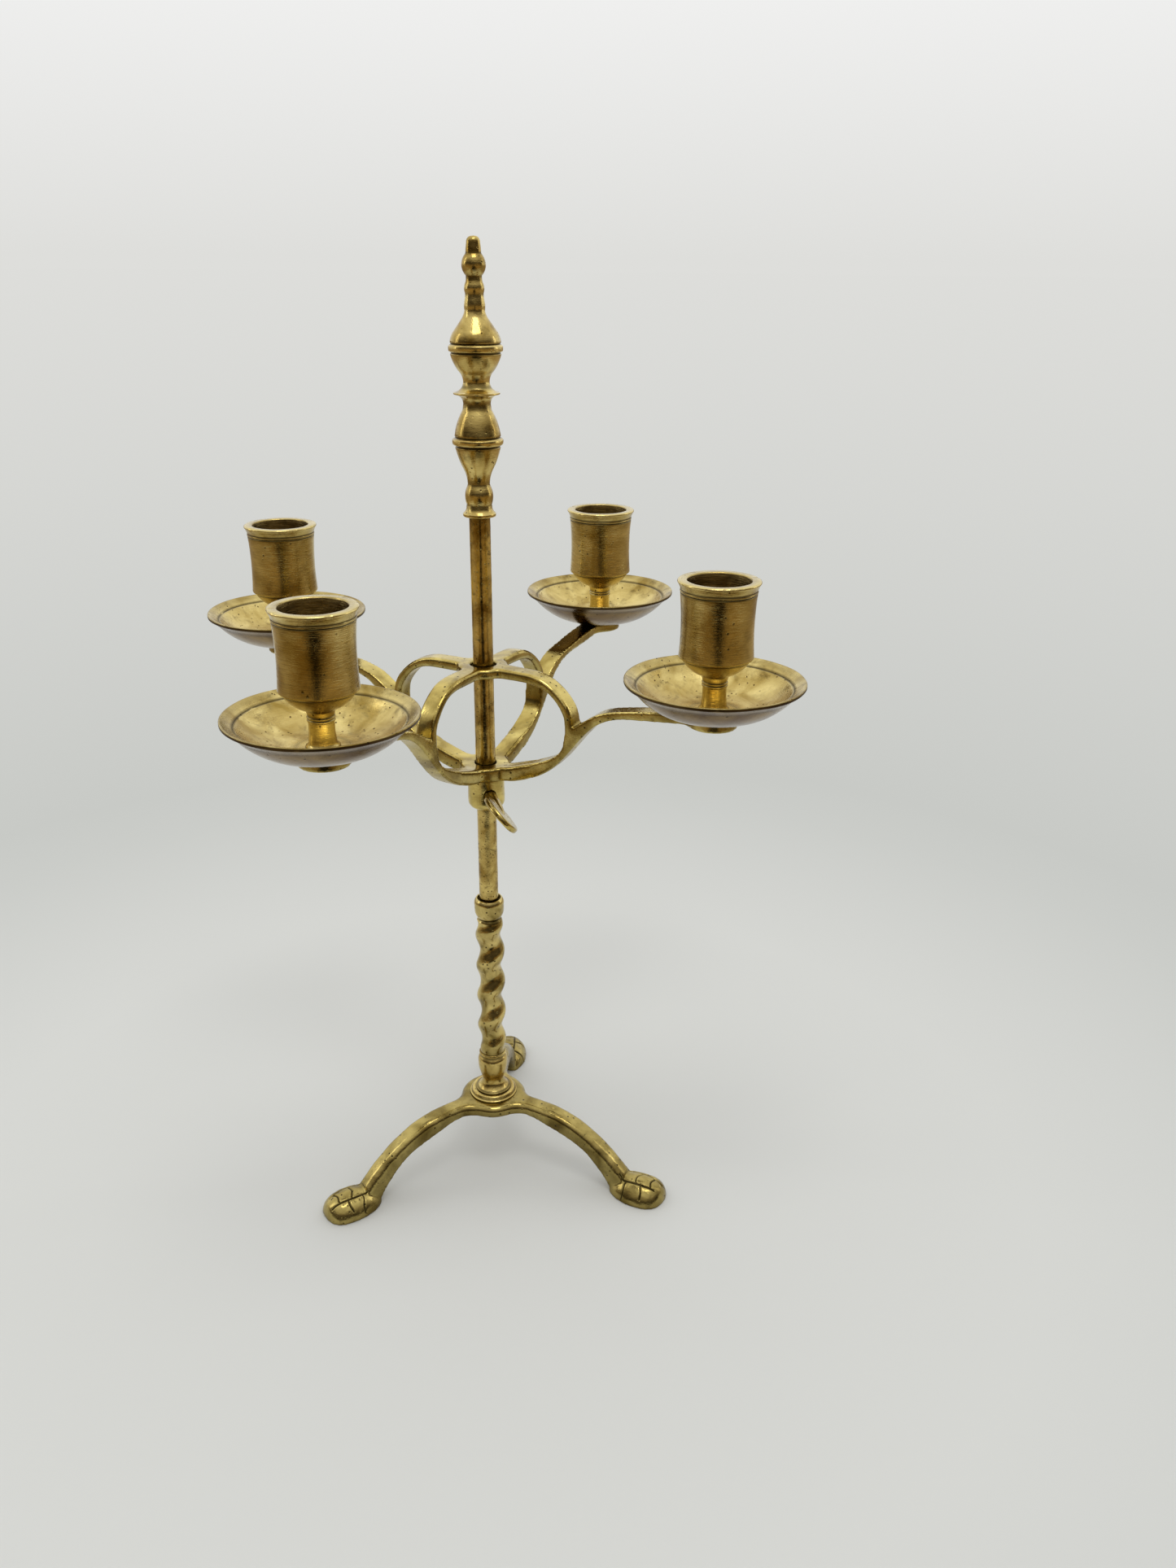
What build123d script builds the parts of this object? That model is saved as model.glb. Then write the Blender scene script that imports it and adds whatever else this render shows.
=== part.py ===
"""Tabletop candelabra in brass: a tripod base with paw feet, a twisted stem, a plain
upper rod that carries a sliding four-arm bracket on a clamp collar, and a turned finial.

Millimetres, +Z up. The origin is on the floor, on the axis of the stem.
"""

from build123d import *
import os
from math import cos, pi, radians, sin, sqrt

os.makedirs("parts", exist_ok=True)

# ---------------------------------------------------------------- driving dimensions

# Layout about the stem
ARM_COUNT = 4
ARM_AZIMUTH = 57.0  # first arm, degrees counter-clockwise from +X
LEG_AZIMUTHS = (84.0, 210.0, 330.0)  # the rear leg stands a little off the middle, as cast
SCREW_AZIMUTH = 282.0  # thumb screw, midway between two arms

# Tripod base
HUB_R = 14.5
HUB_TOP_Z = 32.0
HUB_THICK = 5.0
LEG_WIDTH = 9.0
LEG_WEB_R = 9.0  # inside corner between hub and leg
LEG_ROUND = 3.0  # rounding of the upper edges
LEG_DROP_REACH = 66.0  # distance from the axis at which the leg's back meets the paw
PAW_REACH = 73.3  # widest place of the paw, from the axis
PAW_R = 9.6
PAW_AXIS_Z = -0.9
PAW_TOE = 11.0  # from the widest place to the tip
PAW_GROOVE = 0.5  # depth of the cut toe lines
PAW_GROOVE_WIDTH = 0.6

# Stem: turned knop at the foot, twist above it, turned knop at the top
KNOP_HEIGHT = 21.5
TWIST_BOTTOM_RISE = 9.0  # from the knop to where the twist has its full throw
STEM_TOP_Z = 129.7
TWIST_R = 5.3
TWIST_THROW = 0.9
TWIST_PITCH = 15.0
TWIST_PHASE = 216.0  # azimuth of the throw at the foot of the twist
STEM_TOP_KNOP_HEIGHT = 10.2
STUD_R = 3.0
STUD_TAIL = 0.5  # stud end showing below the nut
WASHER_R = 6.0
WASHER_THICK = 1.0
NUT_FLATS = 10.0
NUT_HEIGHT = 3.2

# Upper rod
ROD_R = 4.0
ROD_TOP_Z = 290.7
ROD_SEAT_DEPTH = 1.5
ROD_SPIGOT_R = 2.5
ROD_SPIGOT_LENGTH = 20.0
FINIAL_SPIGOT_LENGTH = 12.0

# Clamp collar and thumb screw
COLLAR_Z = 172.0
COLLAR_R = 7.5
COLLAR_HEIGHT = 13.95
COLLAR_ROUND = 3.0
SCREW_R = 2.5
SCREW_RISE = 7.0  # thumb screw above the collar's lower face
SCREW_HEAD_REACH = 26.0
SCREW_HEAD_LENGTH = 22.0
SCREW_HEAD_WIDTH = 17.0
SCREW_HEAD_THICK = 2.4
SCREW_HEAD_TILT = -50.0  # roll of the flat head about the screw

# Four-arm bracket
STRAP_WIDTH = 8.0
STRAP_PLATE_R = 10.0  # round plate where the straps meet
STRAP_WEB_R = 2.5  # inside corner between plate and strap
BRACKET_HEIGHT = 47.0
TOP_STRAP_THICK = 4.0
CAGE_R = 42.1  # outside of the cage, at the crease
CREASE_RISE = 28.5
ARM_REACH = 98.15  # cup axis from the stem axis
PAD_R = 9.0
PAD_RISE = 42.0
PAD_THICK = 3.7
PAD_WEB_R = 10.0
CAGE_ROUND = 1.2  # rounding of the upper casting's edges

# Drip pan and candle cup
PAN_R = 32.7
PAN_HEIGHT = 13.9
PAN_FLANGE = 4.0
PAN_FLANGE_RISE = 2.2
PAN_FOOT_R = 8.0
PAN_FLOOR = 2.4
PAN_WALL = 1.4
CANDLE_R = 11.25
CANDLE_DEPTH = 24.0
CUP_HEIGHT = 47.7
CUP_RIM_R = 14.7
CUP_FOOT_R = 13.4  # foot of the cup's wall, above the bowl
CUP_NECK_R = 4.35
CUP_SCREW_R = 2.0
CUP_SCREW_HEAD_R = 3.4
CUP_SCREW_GRIP = 10.0  # length of screw inside the cup's neck

# Clearances
RUNNING_GAP = 0.06  # collar on rod, radial
THREAD_GAP = 0.05  # screws and spigots in their holes, radial
THRUST_GAP = 0.05  # bracket resting on the collar
TIP_GAP = 0.15  # thumb screw's tip and the rod
HOLE_GAP = 0.15  # plain holes round a screw
BRAZE_GAP = 0.06  # upright gap of the brazed joints between the two castings
SEAT_GAP = 1.0  # rod in the cup-shaped end of the stem, radial
ARM_BORE_GAP = 0.35  # rod in the lower casting, radial
CAGE_HOLE_GAP = 1.1  # rod in the upper casting, radial

# ------------------------------------------------------------------ derived places

ARM_AZIMUTHS = [ARM_AZIMUTH + 360 * index / ARM_COUNT for index in range(ARM_COUNT)]
HUB_UNDERSIDE_Z = HUB_TOP_Z - HUB_THICK
KNOP_TOP_Z = HUB_TOP_Z + KNOP_HEIGHT
BRACKET_Z = COLLAR_Z + COLLAR_HEIGHT + THRUST_GAP
PAD_TOP_Z = BRACKET_Z + PAD_RISE
PAN_FLOOR_Z = PAD_TOP_Z + PAN_FLOOR
SCREW_Z = COLLAR_Z + SCREW_RISE


def turned(*stations):
    """Solid of revolution about Z.

    Each station is (radius, height) or (radius, height, bulge). The bulge is the rise of
    the arc from the station before it to this one, positive outwards.
    """
    edges = []
    first = stations[0][:2]
    at = first
    for station in stations[1:]:
        to = station[:2]
        if len(station) == 3:
            edges.append(SagittaArc(at, to, -station[2]))
        else:
            edges.append(Line(at, to))
        at = to
    edges.append(Line(at, first))
    return lathe(Wire(edges))


def lathe(outline):
    """Turn a closed outline, drawn with X as radius and Y as height, about Z."""
    section = Plane.XZ * make_face(outline)
    return revolve(section, Axis.Z)


def around(azimuths, shape):
    """Copies of a shape drawn along +X, one turned about Z to each azimuth."""
    return [Rot(0, 0, azimuth) * shape for azimuth in azimuths]


def reach(point):
    """Distance of a point from the Z axis."""
    return sqrt(point.X**2 + point.Y**2)


def rim_edges(shape):
    """Edges where upright side walls meet a casting's upper and lower faces."""
    rims = []
    for wall in shape.faces():
        if abs(wall.normal_at().Z) > 0.01:
            continue
        for edge in wall.edges():
            upright = edge.geom_type == GeomType.LINE and abs((edge @ 0).Z - (edge @ 1).Z) > 1
            joint = edge.geom_type == GeomType.HYPERBOLA
            if not (upright or joint or any(edge.is_same(other) for other in rims)):
                rims.append(edge)
    return rims


def bore(radius, low, high):
    """Cylinder on the Z axis between two heights, used to cut holes."""
    return Pos(0, 0, low) * Cylinder(radius, high - low, align=(Align.CENTER, Align.CENTER, Align.MIN))


def write(shape, node):
    """Write one node as a STEP file."""
    export_step(shape, f"parts/{node}.step")


# --------------------------------------------------------------------- tripod base


def leg_band():
    """Side view of hub and leg: radius against height, down to the ankle."""
    crown = [
        (HUB_R + 3.5, HUB_TOP_Z),
        (0.55 * LEG_DROP_REACH, HUB_TOP_Z - 2.0),
        (0.68 * LEG_DROP_REACH, HUB_TOP_Z - 5.6),
        (0.88 * LEG_DROP_REACH, HUB_TOP_Z - 15.0),
        (LEG_DROP_REACH, 9.2),
    ]
    sole = [
        (HUB_R + 3.5, HUB_UNDERSIDE_Z),
        (0.5 * LEG_DROP_REACH, HUB_UNDERSIDE_Z - 3.6),
        (0.7 * LEG_DROP_REACH, HUB_UNDERSIDE_Z - 9.2),
        (0.84 * LEG_DROP_REACH, HUB_UNDERSIDE_Z - 18.2),
        (0.92 * LEG_DROP_REACH, 0.0),
    ]
    back = Spline(*crown, tangents=[(1, 0), (0.7, -0.7)])
    under = Spline(*sole, tangents=[(1, 0), (0.35, -1)])
    return Wire(
        [
            Line((0, HUB_TOP_Z), back @ 0),
            back,
            Line(back @ 1, (LEG_DROP_REACH, 0)),
            Line((LEG_DROP_REACH, 0), under @ 1),
            under,
            Line(under @ 0, (0, HUB_UNDERSIDE_Z)),
            Line((0, HUB_UNDERSIDE_Z), (0, HUB_TOP_Z)),
        ]
    )


def tripod_plan():
    """Plan of hub and legs, with rounded inside corners."""
    leg = Pos(LEG_DROP_REACH / 2, 0) * Rectangle(LEG_DROP_REACH + 2, LEG_WIDTH)
    plan = Circle(HUB_R) + around(LEG_AZIMUTHS, leg)
    corners = [v for v in plan.vertices() if reach(v) < HUB_R + 1]
    return fillet(corners, LEG_WEB_R)


def paw_form(inset):
    """Paw as a lying teardrop of revolution, drawn along +X, flat on the floor."""
    widest = PAW_R - inset
    outline = Spline(
        (PAW_REACH + PAW_TOE - inset, 0),
        (PAW_REACH, widest),
        (PAW_REACH - 13.5, 0.5 * PAW_R - inset),
        tangents=[(0, 1), (-1, -0.9)],
    )
    heel = outline @ 1
    wire = Wire([outline, Line(heel, (heel.X, 0)), Line((heel.X, 0), outline @ 0)])
    form = Pos(0, 0, PAW_AXIS_Z) * revolve(make_face(wire), Axis.X)
    above = Pos(PAW_REACH, 0, 0) * Box(60, 60, 40, align=(Align.CENTER, Align.CENTER, Align.MIN))
    return form & above


def paw():
    """Paw with two lines between its toes and two cuts across them."""
    form = paw_form(0)
    skin = form - paw_form(PAW_GROOVE)
    front = Pos(PAW_REACH + 2, 0, 3.2)
    along = front * Box(20, PAW_GROOVE_WIDTH, 30, align=(Align.CENTER, Align.CENTER, Align.MIN))
    across = front * Box(PAW_GROOVE_WIDTH, 17, 30, align=(Align.CENTER, Align.CENTER, Align.MIN))
    toe_half = PAW_R / 3
    cutters = [Pos(0, side * toe_half, 0) * along for side in (-1, 1)]
    cutters += [Pos(step, 0, 0) * across for step in (-6.0, 1.5)]
    for cutter in cutters:
        form = form - (cutter & skin)
    return form


def tripod_base():
    """Cast base: hub and three legs in one bell-shaped band, each ending in a paw."""
    blank = lathe(leg_band()) & extrude(tripod_plan(), HUB_TOP_Z + 10)
    leg_middle_z = 0.7 * HUB_TOP_Z
    upper = [edge for edge in rim_edges(blank) if (edge @ 0.5).Z > leg_middle_z]
    upper = [edge for edge in upper if (edge @ 0.5).Z > HUB_UNDERSIDE_Z + 0.5 or reach(edge @ 0.5) > 40]
    base = fillet(upper, LEG_ROUND) + around(LEG_AZIMUTHS, paw())
    return base - bore(STUD_R + HOLE_GAP, 0, HUB_TOP_Z + 1)


# ---------------------------------------------------------------------------- stem


def base_knop():
    """Turned knop between the hub and the twist, with stepped rings at its foot."""
    blank = turned(
        (0, 0),
        (10.4, 0),
        (10.4, 0.7),
        (9.9, 0.9),
        (9.5, 1.1),
        (8.0, 2.4, 0.7),
        (7.5, 2.4),
        (7.5, 3.1, 0.25),
        (7.0, 3.3),
        (5.0, 9.0, -0.9),
        (6.5, 16.6, 0.45),
        (5.5, 19.6, 0.35),
        (5.5, 20.2),
        (5.5, KNOP_HEIGHT, 0.45),
        (0, KNOP_HEIGHT),
    )
    return Pos(0, 0, HUB_TOP_Z) * blank - bore(STUD_R + THREAD_GAP, HUB_TOP_Z - 1, KNOP_TOP_Z + 1)


def twist():
    """Round bar whose centre winds about the axis, straightening at both ends."""
    low = KNOP_TOP_Z
    high = STEM_TOP_Z - STEM_TOP_KNOP_HEIGHT
    steps = round(8 * (high - low) / TWIST_PITCH)
    sections = []
    for step in range(steps + 1):
        z = low + (high - low) * step / steps
        rise = min(1.0, (z - low) / TWIST_BOTTOM_RISE, (high - z) / (TWIST_BOTTOM_RISE / 2))
        throw = TWIST_THROW * sin(rise * pi / 2)
        turn = radians(TWIST_PHASE + 360 * (z - low) / TWIST_PITCH)
        centre = Pos(throw * cos(turn), throw * sin(turn), z)
        sections.append(centre * Circle(TWIST_R).face())
    return loft(sections)


def twist_stem():
    """Twisted stem with its top knop, and the stud that ties it through the base."""
    neck_z = STEM_TOP_Z - STEM_TOP_KNOP_HEIGHT
    knop = turned(
        (0, -1.0),
        (4.7, -1.0),
        (4.7, 0.8),
        (5.0, 1.1),
        (6.2, 5.2, 0.35),
        (6.25, 7.2, 0.08),
        (5.5, STEM_TOP_KNOP_HEIGHT, 0.4),
        (0, STEM_TOP_KNOP_HEIGHT),
    )
    nut_bottom = HUB_UNDERSIDE_Z - WASHER_THICK - NUT_HEIGHT
    stem = twist() + Pos(0, 0, neck_z) * knop
    stem = stem + bore(STUD_R, nut_bottom - STUD_TAIL, KNOP_TOP_Z + 1)
    stem = stem - bore(ROD_R + SEAT_GAP, STEM_TOP_Z - ROD_SEAT_DEPTH, STEM_TOP_Z + 1)
    seat_z = STEM_TOP_Z - ROD_SEAT_DEPTH
    return stem - bore(ROD_SPIGOT_R + THREAD_GAP, seat_z - ROD_SPIGOT_LENGTH - 1, seat_z + 1)


def base_washer():
    """Plain washer under the hub."""
    low = HUB_UNDERSIDE_Z - WASHER_THICK
    return bore(WASHER_R, low, HUB_UNDERSIDE_Z) - bore(STUD_R + HOLE_GAP, low - 1, HUB_TOP_Z)


def base_nut():
    """Hexagon nut on the stud, with chamfered corners."""
    low = HUB_UNDERSIDE_Z - WASHER_THICK - NUT_HEIGHT
    corner_r = NUT_FLATS / sqrt(3)
    hexagon = Pos(0, 0, low) * extrude(RegularPolygon(corner_r, 6), NUT_HEIGHT)
    cone = turned(
        (0, 0),
        (NUT_FLATS / 2 - 0.2, 0),
        (corner_r + 0.1, 0.8),
        (corner_r + 0.1, NUT_HEIGHT - 0.8),
        (NUT_FLATS / 2 - 0.2, NUT_HEIGHT),
        (0, NUT_HEIGHT),
    )
    nut = hexagon & Pos(0, 0, low) * cone
    return nut - bore(STUD_R + THREAD_GAP, low - 1, low + NUT_HEIGHT + 1)


def slide_rod():
    """Plain rod with a spigot at each end."""
    seat_z = STEM_TOP_Z - ROD_SEAT_DEPTH
    rod = bore(ROD_R, seat_z, ROD_TOP_Z)
    rod = rod + bore(ROD_SPIGOT_R, seat_z - ROD_SPIGOT_LENGTH, seat_z + 1)
    return rod + bore(ROD_SPIGOT_R, ROD_TOP_Z - 1, ROD_TOP_Z + FINIAL_SPIGOT_LENGTH)


def finial():
    """Turned finial: two bulbs with a thin disc between them, beads and a ball on top."""
    blank = turned(
        (0, 0),
        (5.9, 0),
        (6.2, 0.4),
        (6.2, 1.1),
        (4.8, 3.9, -0.45),
        (4.3, 11.2, 0.75),
        (4.2, 13.0),
        (5.4, 17.1, -0.2),
        (8.4, 25.2, 0.3),
        (8.4, 25.7),
        (9.3, 26.0),
        (9.3, 28.5),
        (8.5, 28.8),
        (8.5, 29.3),
        (5.3, 38.6, 0.5),
        (5.0, 40.6),
        (5.4, 42.3, -0.1),
        (8.5, 44.0, -0.45),
        (8.5, 44.6),
        (5.4, 46.4, -0.35),
        (4.8, 48.3, -0.1),
        (5.7, 51.2, -0.2),
        (9.2, 57.9, 0.5),
        (9.2, 58.3),
        (9.8, 58.6),
        (9.8, 61.0),
        (9.3, 61.3),
        (9.3, 61.8),
        (7.6, 65.9, 0.35),
        (5.0, 69.6),
        (3.8, 72.6, -0.25),
        (3.6, 76.0, 0.3),
        (3.3, 78.2),
        (3.1, 82.0, 0.45),
        (2.9, 84.2),
        (3.0, 91.0, 1.4),
        (2.8, 91.4),
        (2.5, 94.6, 0.05),
        (1.3, 96.8, 0.4),
        (0, 97.0),
    )
    blank = Pos(0, 0, ROD_TOP_Z) * blank
    return blank - bore(ROD_SPIGOT_R + THREAD_GAP, ROD_TOP_Z - 1, ROD_TOP_Z + FINIAL_SPIGOT_LENGTH + 1)


# ----------------------------------------------------------- collar and thumb screw


def clamp_collar():
    """Ring that slides on the rod, rounded below, with a cross hole for its screw."""
    ring = bore(COLLAR_R, COLLAR_Z, COLLAR_Z + COLLAR_HEIGHT)
    low_edge = ring.edges().sort_by(Axis.Z)[0]
    ring = fillet(low_edge, COLLAR_ROUND)
    ring = ring - bore(ROD_R + RUNNING_GAP, COLLAR_Z - 1, COLLAR_Z + COLLAR_HEIGHT + 1)
    hole = Pos(0, 0, SCREW_Z) * Rot(0, 90, 0) * bore(SCREW_R + THREAD_GAP, 0, COLLAR_R + 5)
    return ring - Rot(0, 0, SCREW_AZIMUTH) * hole


def thumb_screw():
    """Screw with a flat oval head, its shank tapering into the root of the head."""
    tip = ROD_R + TIP_GAP
    root = SCREW_HEAD_REACH - SCREW_HEAD_LENGTH / 2
    shank = Rot(0, 90, 0) * bore(SCREW_R, tip, root + 1)
    taper = Pos(root + 1, 0, 0) * Rot(0, 90, 0) * turned(
        (0, 0),
        (SCREW_R, 0),
        (1.0, 0.6 * SCREW_HEAD_LENGTH, 0.4),
        (0, 0.6 * SCREW_HEAD_LENGTH),
    )
    leaf = extrude(Ellipse(SCREW_HEAD_LENGTH / 2, SCREW_HEAD_WIDTH / 2), SCREW_HEAD_THICK / 2, both=True)
    leaf = Pos(SCREW_HEAD_REACH, 0, 0) * fillet(leaf.edges().filter_by(GeomType.ELLIPSE), 0.8)
    screw = Rot(SCREW_HEAD_TILT, 0, 0) * (shank + taper + leaf)
    return Pos(0, 0, SCREW_Z) * Rot(0, 0, SCREW_AZIMUTH) * screw


# ------------------------------------------------------------------ four-arm bracket


def crease_line(gap=0.0):
    """Ends of the joint between arm and cage strap, as (radius, height above the seat)."""
    return (CAGE_R, CREASE_RISE + gap), (CAGE_R - 3.7, CREASE_RISE - 4.2 + gap)


def spider_outline():
    """Side view of hub plate and arm."""
    outer, inner = crease_line()
    pad_edge = ARM_REACH - PAD_R
    under = Spline(
        (COLLAR_R + 0.5, 0.0),
        (CAGE_R - 19.0, 3.8),
        (CAGE_R - 11.5, 8.0),
        (CAGE_R + 1.7, 22.2),
        (CAGE_R + 15.0, 33.9),
        (CAGE_R + 31.6, PAD_RISE - 5.4),
        (pad_edge, PAD_RISE - PAD_THICK),
        tangents=[(1, 0), (1, 0.1)],
    )
    floor = Spline(
        (6.0, 5.6),
        (18.0, 8.3),
        (CAGE_R - 7.7, 15.4),
        inner,
        tangents=[(1, 0), (0, 1)],
    )
    arm = Spline(
        outer,
        (CAGE_R + 9.7, 35.1),
        (CAGE_R + 23.2, PAD_RISE - 3.1),
        (pad_edge, PAD_RISE),
        tangents=[(1, 0.6), (1, 0.1)],
    )
    tip = ARM_REACH + PAD_R + 1
    return Wire(
        [
            Line((0, 0), under @ 0),
            under,
            Line(under @ 1, (tip, PAD_RISE - PAD_THICK)),
            Line((tip, PAD_RISE - PAD_THICK), (tip, PAD_RISE)),
            Line((tip, PAD_RISE), arm @ 1),
            arm,
            Line(outer, inner),
            floor,
            Line(floor @ 0, (0, 5.6)),
            Line((0, 5.6), (0, 0)),
        ]
    )


def cage_outline():
    """Side view of the upper strap, from the stem down to the crease."""
    outer, inner = crease_line(BRAZE_GAP)
    low = BRACKET_HEIGHT - TOP_STRAP_THICK
    crown = Spline(
        (20.0, BRACKET_HEIGHT),
        (0.75 * CAGE_R, BRACKET_HEIGHT - 3.0),
        (0.955 * CAGE_R, BRACKET_HEIGHT - 11.7),
        outer,
        tangents=[(1, 0), (0.2, -1)],
    )
    ceiling = Spline(
        (20.0, low),
        (0.75 * CAGE_R, low - 2.9),
        (0.886 * CAGE_R, low - 9.6),
        inner,
        tangents=[(1, 0), (0, -1)],
    )
    return Wire(
        [
            Line((0, BRACKET_HEIGHT), crown @ 0),
            crown,
            Line(outer, inner),
            ceiling,
            Line(ceiling @ 0, (0, low)),
            Line((0, low), (0, BRACKET_HEIGHT)),
        ]
    )


def strap_plan(length):
    """Plan of the straps and the round plate that joins them, with rounded inside corners."""
    strap = Pos(length / 2, 0) * Rectangle(length, STRAP_WIDTH)
    plan = Circle(STRAP_PLATE_R) + around(ARM_AZIMUTHS, strap)
    corners = [v for v in plan.vertices() if reach(v) < STRAP_PLATE_R + 1]
    return fillet(corners, STRAP_WEB_R)


def arm_spider():
    """Lower casting: hub plate and four arms, each with a round pad at its end."""
    pads = around(ARM_AZIMUTHS, Pos(ARM_REACH, 0) * Circle(PAD_R))
    plan = strap_plan(ARM_REACH) + pads
    necks = [v for v in plan.vertices() if ARM_REACH - PAD_R - 1 < reach(v) < ARM_REACH]
    plan = fillet(necks, PAD_WEB_R)
    blank = lathe(spider_outline()) & extrude(plan, 2 * BRACKET_HEIGHT)
    blank = Pos(0, 0, BRACKET_Z) * blank
    blank = blank - bore(ROD_R + ARM_BORE_GAP, BRACKET_Z - 1, BRACKET_Z + BRACKET_HEIGHT)
    pad_low = PAD_TOP_Z - PAD_THICK
    sink = Pos(ARM_REACH, 0, pad_low) * screw_form(HOLE_GAP, PAD_THICK + 1)
    for cutter in around(ARM_AZIMUTHS, sink):
        blank = blank - cutter
    return blank


def upper_cross():
    """Upper casting: four straps that close the cage, joined by a plate with a loose hole."""
    blank = lathe(cage_outline()) & extrude(strap_plan(CAGE_R + 5), 2 * BRACKET_HEIGHT)
    blank = Pos(0, 0, BRACKET_Z) * fillet(rim_edges(blank), CAGE_ROUND)
    return blank - bore(ROD_R + CAGE_HOLE_GAP, BRACKET_Z, BRACKET_Z + BRACKET_HEIGHT + 1)


def screw_form(gap, length):
    """Countersunk screw standing on its head, grown all round by a gap."""
    head = CUP_SCREW_HEAD_R - CUP_SCREW_R
    return turned(
        (0, 0),
        (CUP_SCREW_HEAD_R + gap, 0),
        (CUP_SCREW_HEAD_R + gap, 0.3),
        (CUP_SCREW_R + gap, 0.3 + head),
        (CUP_SCREW_R + gap, length),
        (0, length),
    )


# ------------------------------------------------------------------- pans and cups


def drip_pan():
    """Shallow dished pan with a flared flange, drawn on the Z axis with its foot at zero."""
    turn_r = PAN_R - PAN_FLANGE
    turn_z = PAN_HEIGHT - PAN_FLANGE_RISE
    return turned(
        (CUP_SCREW_R + HOLE_GAP, 0),
        (PAN_FOOT_R, 0),
        (turn_r + 0.6, turn_z - PAN_WALL, 2.6),
        (PAN_R, PAN_HEIGHT - 1.1, -0.1),
        (PAN_R, PAN_HEIGHT),
        (PAN_R - 0.6, PAN_HEIGHT, 0.1),
        (turn_r, turn_z, 0.1),
        (turn_r - 0.5, turn_z - 0.5),
        (PAN_FOOT_R + 1.0, PAN_FLOOR, -2.6),
        (CUP_SCREW_R + HOLE_GAP, PAN_FLOOR),
    )


def candle_cup():
    """Turned cup on a spool neck, with a candle bore above and a screw hole below."""
    rim = CUP_HEIGHT
    blank = turned(
        (0, 0),
        (5.7, 0),
        (5.7, 0.7, 0.1),
        (4.7, 2.8, -0.4),
        (CUP_NECK_R, 5.4),
        (CUP_NECK_R, 9.0),
        (CUP_NECK_R, 10.1, 0.4),
        (CUP_NECK_R, 11.1, 0.4),
        (4.6, 11.7),
        (5.8, 13.7, -0.3),
        (12.2, 19.2, 0.8),
        (12.5, 19.5),
        (CUP_FOOT_R - 0.35, 19.8),
        (CUP_FOOT_R, 20.6, 0.15),
        (CUP_FOOT_R + 0.1, rim - 5.0, -0.5),
        (CUP_FOOT_R + 0.1, rim - 4.6),
        (CUP_FOOT_R - 0.1, rim - 4.4),
        (CUP_FOOT_R + 0.25, rim - 4.1),
        (CUP_FOOT_R + 0.25, rim - 3.6),
        (CUP_FOOT_R + 0.1, rim - 3.4),
        (CUP_RIM_R, rim - 0.7, -0.12),
        (CUP_RIM_R - 0.5, rim, 0.15),
        (CANDLE_R, rim),
        (CANDLE_R, rim - CANDLE_DEPTH),
        (0, rim - CANDLE_DEPTH),
    )
    return blank - bore(CUP_SCREW_R + THREAD_GAP, -1, CUP_SCREW_GRIP + 1)


def cup_screw():
    """Slotted countersunk screw that holds pan and cup to the arm."""
    length = PAD_THICK + PAN_FLOOR + CUP_SCREW_GRIP
    slot = Box(8, 0.8, 1.6)
    return screw_form(0, length) - slot


# -------------------------------------------------------------------------- output

write(tripod_base(), "tripod_base")
write(base_washer(), "base_washer")
write(base_nut(), "base_nut")
write(base_knop(), "base_knop")
write(twist_stem(), "twist_stem")
write(slide_rod(), "slide_rod")
write(finial(), "finial")
write(clamp_collar(), "clamp_collar")
write(thumb_screw(), "thumb_screw")
write(arm_spider(), "arm_spider")
write(upper_cross(), "upper_cross")

pans = around(ARM_AZIMUTHS, Pos(ARM_REACH, 0, PAD_TOP_Z) * drip_pan())
cups = around(ARM_AZIMUTHS, Pos(ARM_REACH, 0, PAN_FLOOR_Z) * candle_cup())
screws = around(ARM_AZIMUTHS, Pos(ARM_REACH, 0, PAD_TOP_Z - PAD_THICK) * cup_screw())
for number, (pan, cup, screw) in enumerate(zip(pans, cups, screws), start=1):
    write(pan, f"drip_pan_{number}")
    write(cup, f"candle_cup_{number}")
    write(screw, f"cup_screw_{number}")
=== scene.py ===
"""The looks of an old brass candelabra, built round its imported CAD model.

Turned pieces are spun from their profiles, the wound stem is drawn up ring by ring, and
the castings are softened copies of their CAD solids, filed and worn. Lengths in the tables
are millimetres; the scene is in metres.
"""

import bmesh
import bpy
from math import atan2, cos, pi, radians, sin
from mathutils import Matrix, Vector, noise


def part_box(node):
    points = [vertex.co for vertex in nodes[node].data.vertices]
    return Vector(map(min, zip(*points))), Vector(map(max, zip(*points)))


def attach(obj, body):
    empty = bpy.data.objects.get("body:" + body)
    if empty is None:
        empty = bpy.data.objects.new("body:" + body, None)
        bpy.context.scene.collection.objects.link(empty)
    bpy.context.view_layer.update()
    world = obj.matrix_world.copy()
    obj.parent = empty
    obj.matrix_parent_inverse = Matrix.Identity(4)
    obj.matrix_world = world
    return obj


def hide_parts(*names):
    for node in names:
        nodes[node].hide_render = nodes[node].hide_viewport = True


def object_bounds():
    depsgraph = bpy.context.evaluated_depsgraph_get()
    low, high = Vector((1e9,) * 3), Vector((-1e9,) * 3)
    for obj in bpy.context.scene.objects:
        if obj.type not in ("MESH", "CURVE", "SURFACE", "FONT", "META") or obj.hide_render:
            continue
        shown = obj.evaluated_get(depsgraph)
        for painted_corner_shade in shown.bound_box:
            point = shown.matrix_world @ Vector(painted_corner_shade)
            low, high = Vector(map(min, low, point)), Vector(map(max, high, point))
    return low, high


MM = 0.001

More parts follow.
